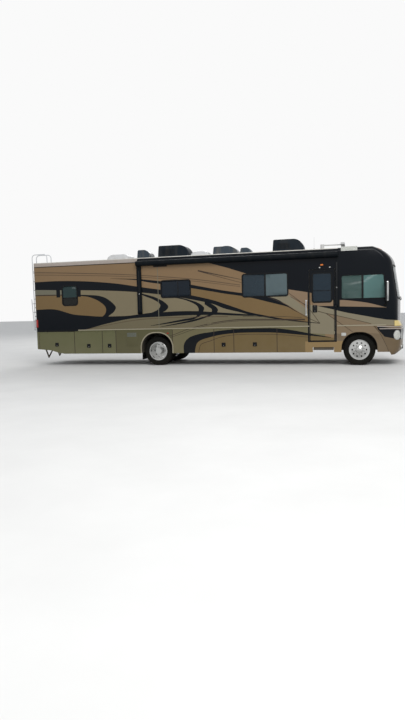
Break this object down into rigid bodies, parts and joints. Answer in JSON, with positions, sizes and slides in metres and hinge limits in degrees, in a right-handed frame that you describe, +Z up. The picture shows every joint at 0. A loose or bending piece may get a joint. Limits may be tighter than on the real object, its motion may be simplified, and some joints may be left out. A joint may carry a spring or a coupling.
{
  "type": "motorhome",
  "caption": "Full-size motorhome on a front-engined chassis, hollow body with cut windows, turning wheels, steering, opening doors, slide-out room and folding ladder.",
  "frame": {"origin": "on the ground, halfway along the whole length and width", "axes": "+X forward, +Y to the driver's side, +Z up"},
  "size_m": [12.36, 3.06, 3.9862],
  "materials": {
    "body_paint": "gloss",
    "frame_black": "satin",
    "engine_grey": "rough",
    "pipe_steel": "dull",
    "bay_plastic": "matt",
    "floor_board": "satin",
    "dark_glass": "polished",
    "black_trim": "gloss",
    "light_trim": "gloss",
    "awning_black": "satin",
    "shroud_black": "matt",
    "smoke_plastic": "gloss",
    "white_plastic": "gloss",
    "white_tube": "gloss",
    "chrome": "polished",
    "lamp_clear": "polished",
    "lamp_amber": "gloss",
    "lamp_red": "gloss",
    "seat_cloth": "woven",
    "tyre": "rubber"
  },
  "bodies": {
    "coach": {"wall_right": "body_paint", "wall_left": "body_paint", "roof": "body_paint", "front_cap": "body_paint", "rear_cap": "body_paint", "skirt_right": "body_paint", "skirt_left": "body_paint", "front_bumper": "body_paint", "slide_runners": "frame_black", "chassis_frame": "frame_black", "front_axle": "frame_black", "rear_axle": "frame_black", "rear_hitch": "frame_black", "entry_steps": "frame_black", "engine": "engine_grey", "exhaust": "pipe_steel", "bays_right": "bay_plastic", "bays_left": "bay_plastic", "tanks": "bay_plastic", "floor": "floor_board", "windshield": "dark_glass", "side_glass": "dark_glass", "window_frames": "black_trim", "dash": "black_trim", "mouldings": "light_trim", "awning": "awning_black", "roof_air_units": "shroud_black", "roof_vents": "smoke_plastic", "roof_domes": "white_plastic", "ladder_upper": "white_tube", "mirrors": "chrome", "headlamps": "lamp_clear", "amber_lamps": "lamp_amber", "red_lamps": "lamp_red", "seats": "seat_cloth"},
    "knuckle_right": {"knuckle_right": "frame_black"},
    "knuckle_left": {"knuckle_left": "frame_black"},
    "wheel_front_right": {"rim_front_right": "chrome", "tyre_front_right": "tyre"},
    "wheel_front_left": {"rim_front_left": "chrome", "tyre_front_left": "tyre"},
    "wheels_rear_right": {"rims_rear_right": "chrome", "tyres_rear_right": "tyre"},
    "wheels_rear_left": {"rims_rear_left": "chrome", "tyres_rear_left": "tyre"},
    "entry_door": {"entry_door": "body_paint", "entry_glass": "dark_glass"},
    "slide_room": {"slide_room": "body_paint", "slide_glass": "dark_glass"},
    "ladder_lower": {"ladder_lower": "white_tube"},
    "bay_door_right_1": {"bay_door_right_1": "body_paint"},
    "bay_door_right_2": {"bay_door_right_2": "body_paint"},
    "bay_door_right_3": {"bay_door_right_3": "body_paint"},
    "bay_door_right_4": {"bay_door_right_4": "body_paint"},
    "bay_door_right_5": {"bay_door_right_5": "body_paint"},
    "bay_door_left_1": {"bay_door_left_1": "body_paint"},
    "bay_door_left_2": {"bay_door_left_2": "body_paint"}
  },
  "joints": [
    {"name": "steer_right", "type": "hinge", "parent": "coach", "child": "knuckle_right", "pos_m": [4.84, -0.95, 0.47], "axis": [0, 0, 1], "range_deg": [-40, 40]},
    {"name": "steer_left", "type": "hinge", "parent": "coach", "child": "knuckle_left", "pos_m": [4.84, 0.95, 0.47], "axis": [0, 0, 1], "range_deg": [-40, 40]},
    {"name": "roll_front_right", "type": "hinge", "parent": "knuckle_right", "child": "wheel_front_right", "pos_m": [4.84, -1.05, 0.47], "axis": [0, 1, 0], "continuous": true},
    {"name": "roll_rear_right", "type": "hinge", "parent": "coach", "child": "wheels_rear_right", "pos_m": [-1.56, -1.03, 0.47], "axis": [0, 1, 0], "continuous": true},
    {"name": "roll_front_left", "type": "hinge", "parent": "knuckle_left", "child": "wheel_front_left", "pos_m": [4.84, 1.05, 0.47], "axis": [0, 1, 0], "continuous": true},
    {"name": "roll_rear_left", "type": "hinge", "parent": "coach", "child": "wheels_rear_left", "pos_m": [-1.56, 1.03, 0.47], "axis": [0, 1, 0], "continuous": true},
    {"name": "entry_door_swing", "type": "hinge", "parent": "coach", "child": "entry_door", "pos_m": [4.138, -1.283, 1.8], "axis": [0, 0, 1], "range_deg": [0, 90]},
    {"name": "bay_door_right_1_lift", "type": "hinge", "parent": "coach", "child": "bay_door_right_1", "pos_m": [-5.182, -1.283, 1.172], "axis": [-1, 0, 0], "range_deg": [0, 90]},
    {"name": "bay_door_right_2_lift", "type": "hinge", "parent": "coach", "child": "bay_door_right_2", "pos_m": [-4.0015, -1.283, 1.172], "axis": [-1, 0, 0], "range_deg": [0, 90]},
    {"name": "bay_door_right_3_lift", "type": "hinge", "parent": "coach", "child": "bay_door_right_3", "pos_m": [-3.243, -1.283, 1.172], "axis": [-1, 0, 0], "range_deg": [0, 90]},
    {"name": "bay_door_right_4_lift", "type": "hinge", "parent": "coach", "child": "bay_door_right_4", "pos_m": [0.69, -1.283, 1.172], "axis": [-1, 0, 0], "range_deg": [0, 90]},
    {"name": "bay_door_right_5_lift", "type": "hinge", "parent": "coach", "child": "bay_door_right_5", "pos_m": [1.695, -1.283, 1.172], "axis": [-1, 0, 0], "range_deg": [0, 90]},
    {"name": "bay_door_left_1_lift", "type": "hinge", "parent": "coach", "child": "bay_door_left_1", "pos_m": [-5.155, 1.283, 1.172], "axis": [1, 0, 0], "range_deg": [0, 90]},
    {"name": "bay_door_left_2_lift", "type": "hinge", "parent": "coach", "child": "bay_door_left_2", "pos_m": [1.123, 1.283, 1.172], "axis": [1, 0, 0], "range_deg": [0, 90]},
    {"name": "ladder_fold", "type": "hinge", "parent": "coach", "child": "ladder_lower", "pos_m": [-6.116, -0.975, 1.25], "axis": [0, -1, 0], "range_deg": [0, 172]},
    {"name": "slide_room_out", "type": "slide", "parent": "coach", "child": "slide_room", "axis": [0, 1, 0], "range_m": [0, 0.85]}
  ],
  "couplings": [
    {"joint": "steer_left", "follows": "steer_right", "ratio": 1}
  ]
}
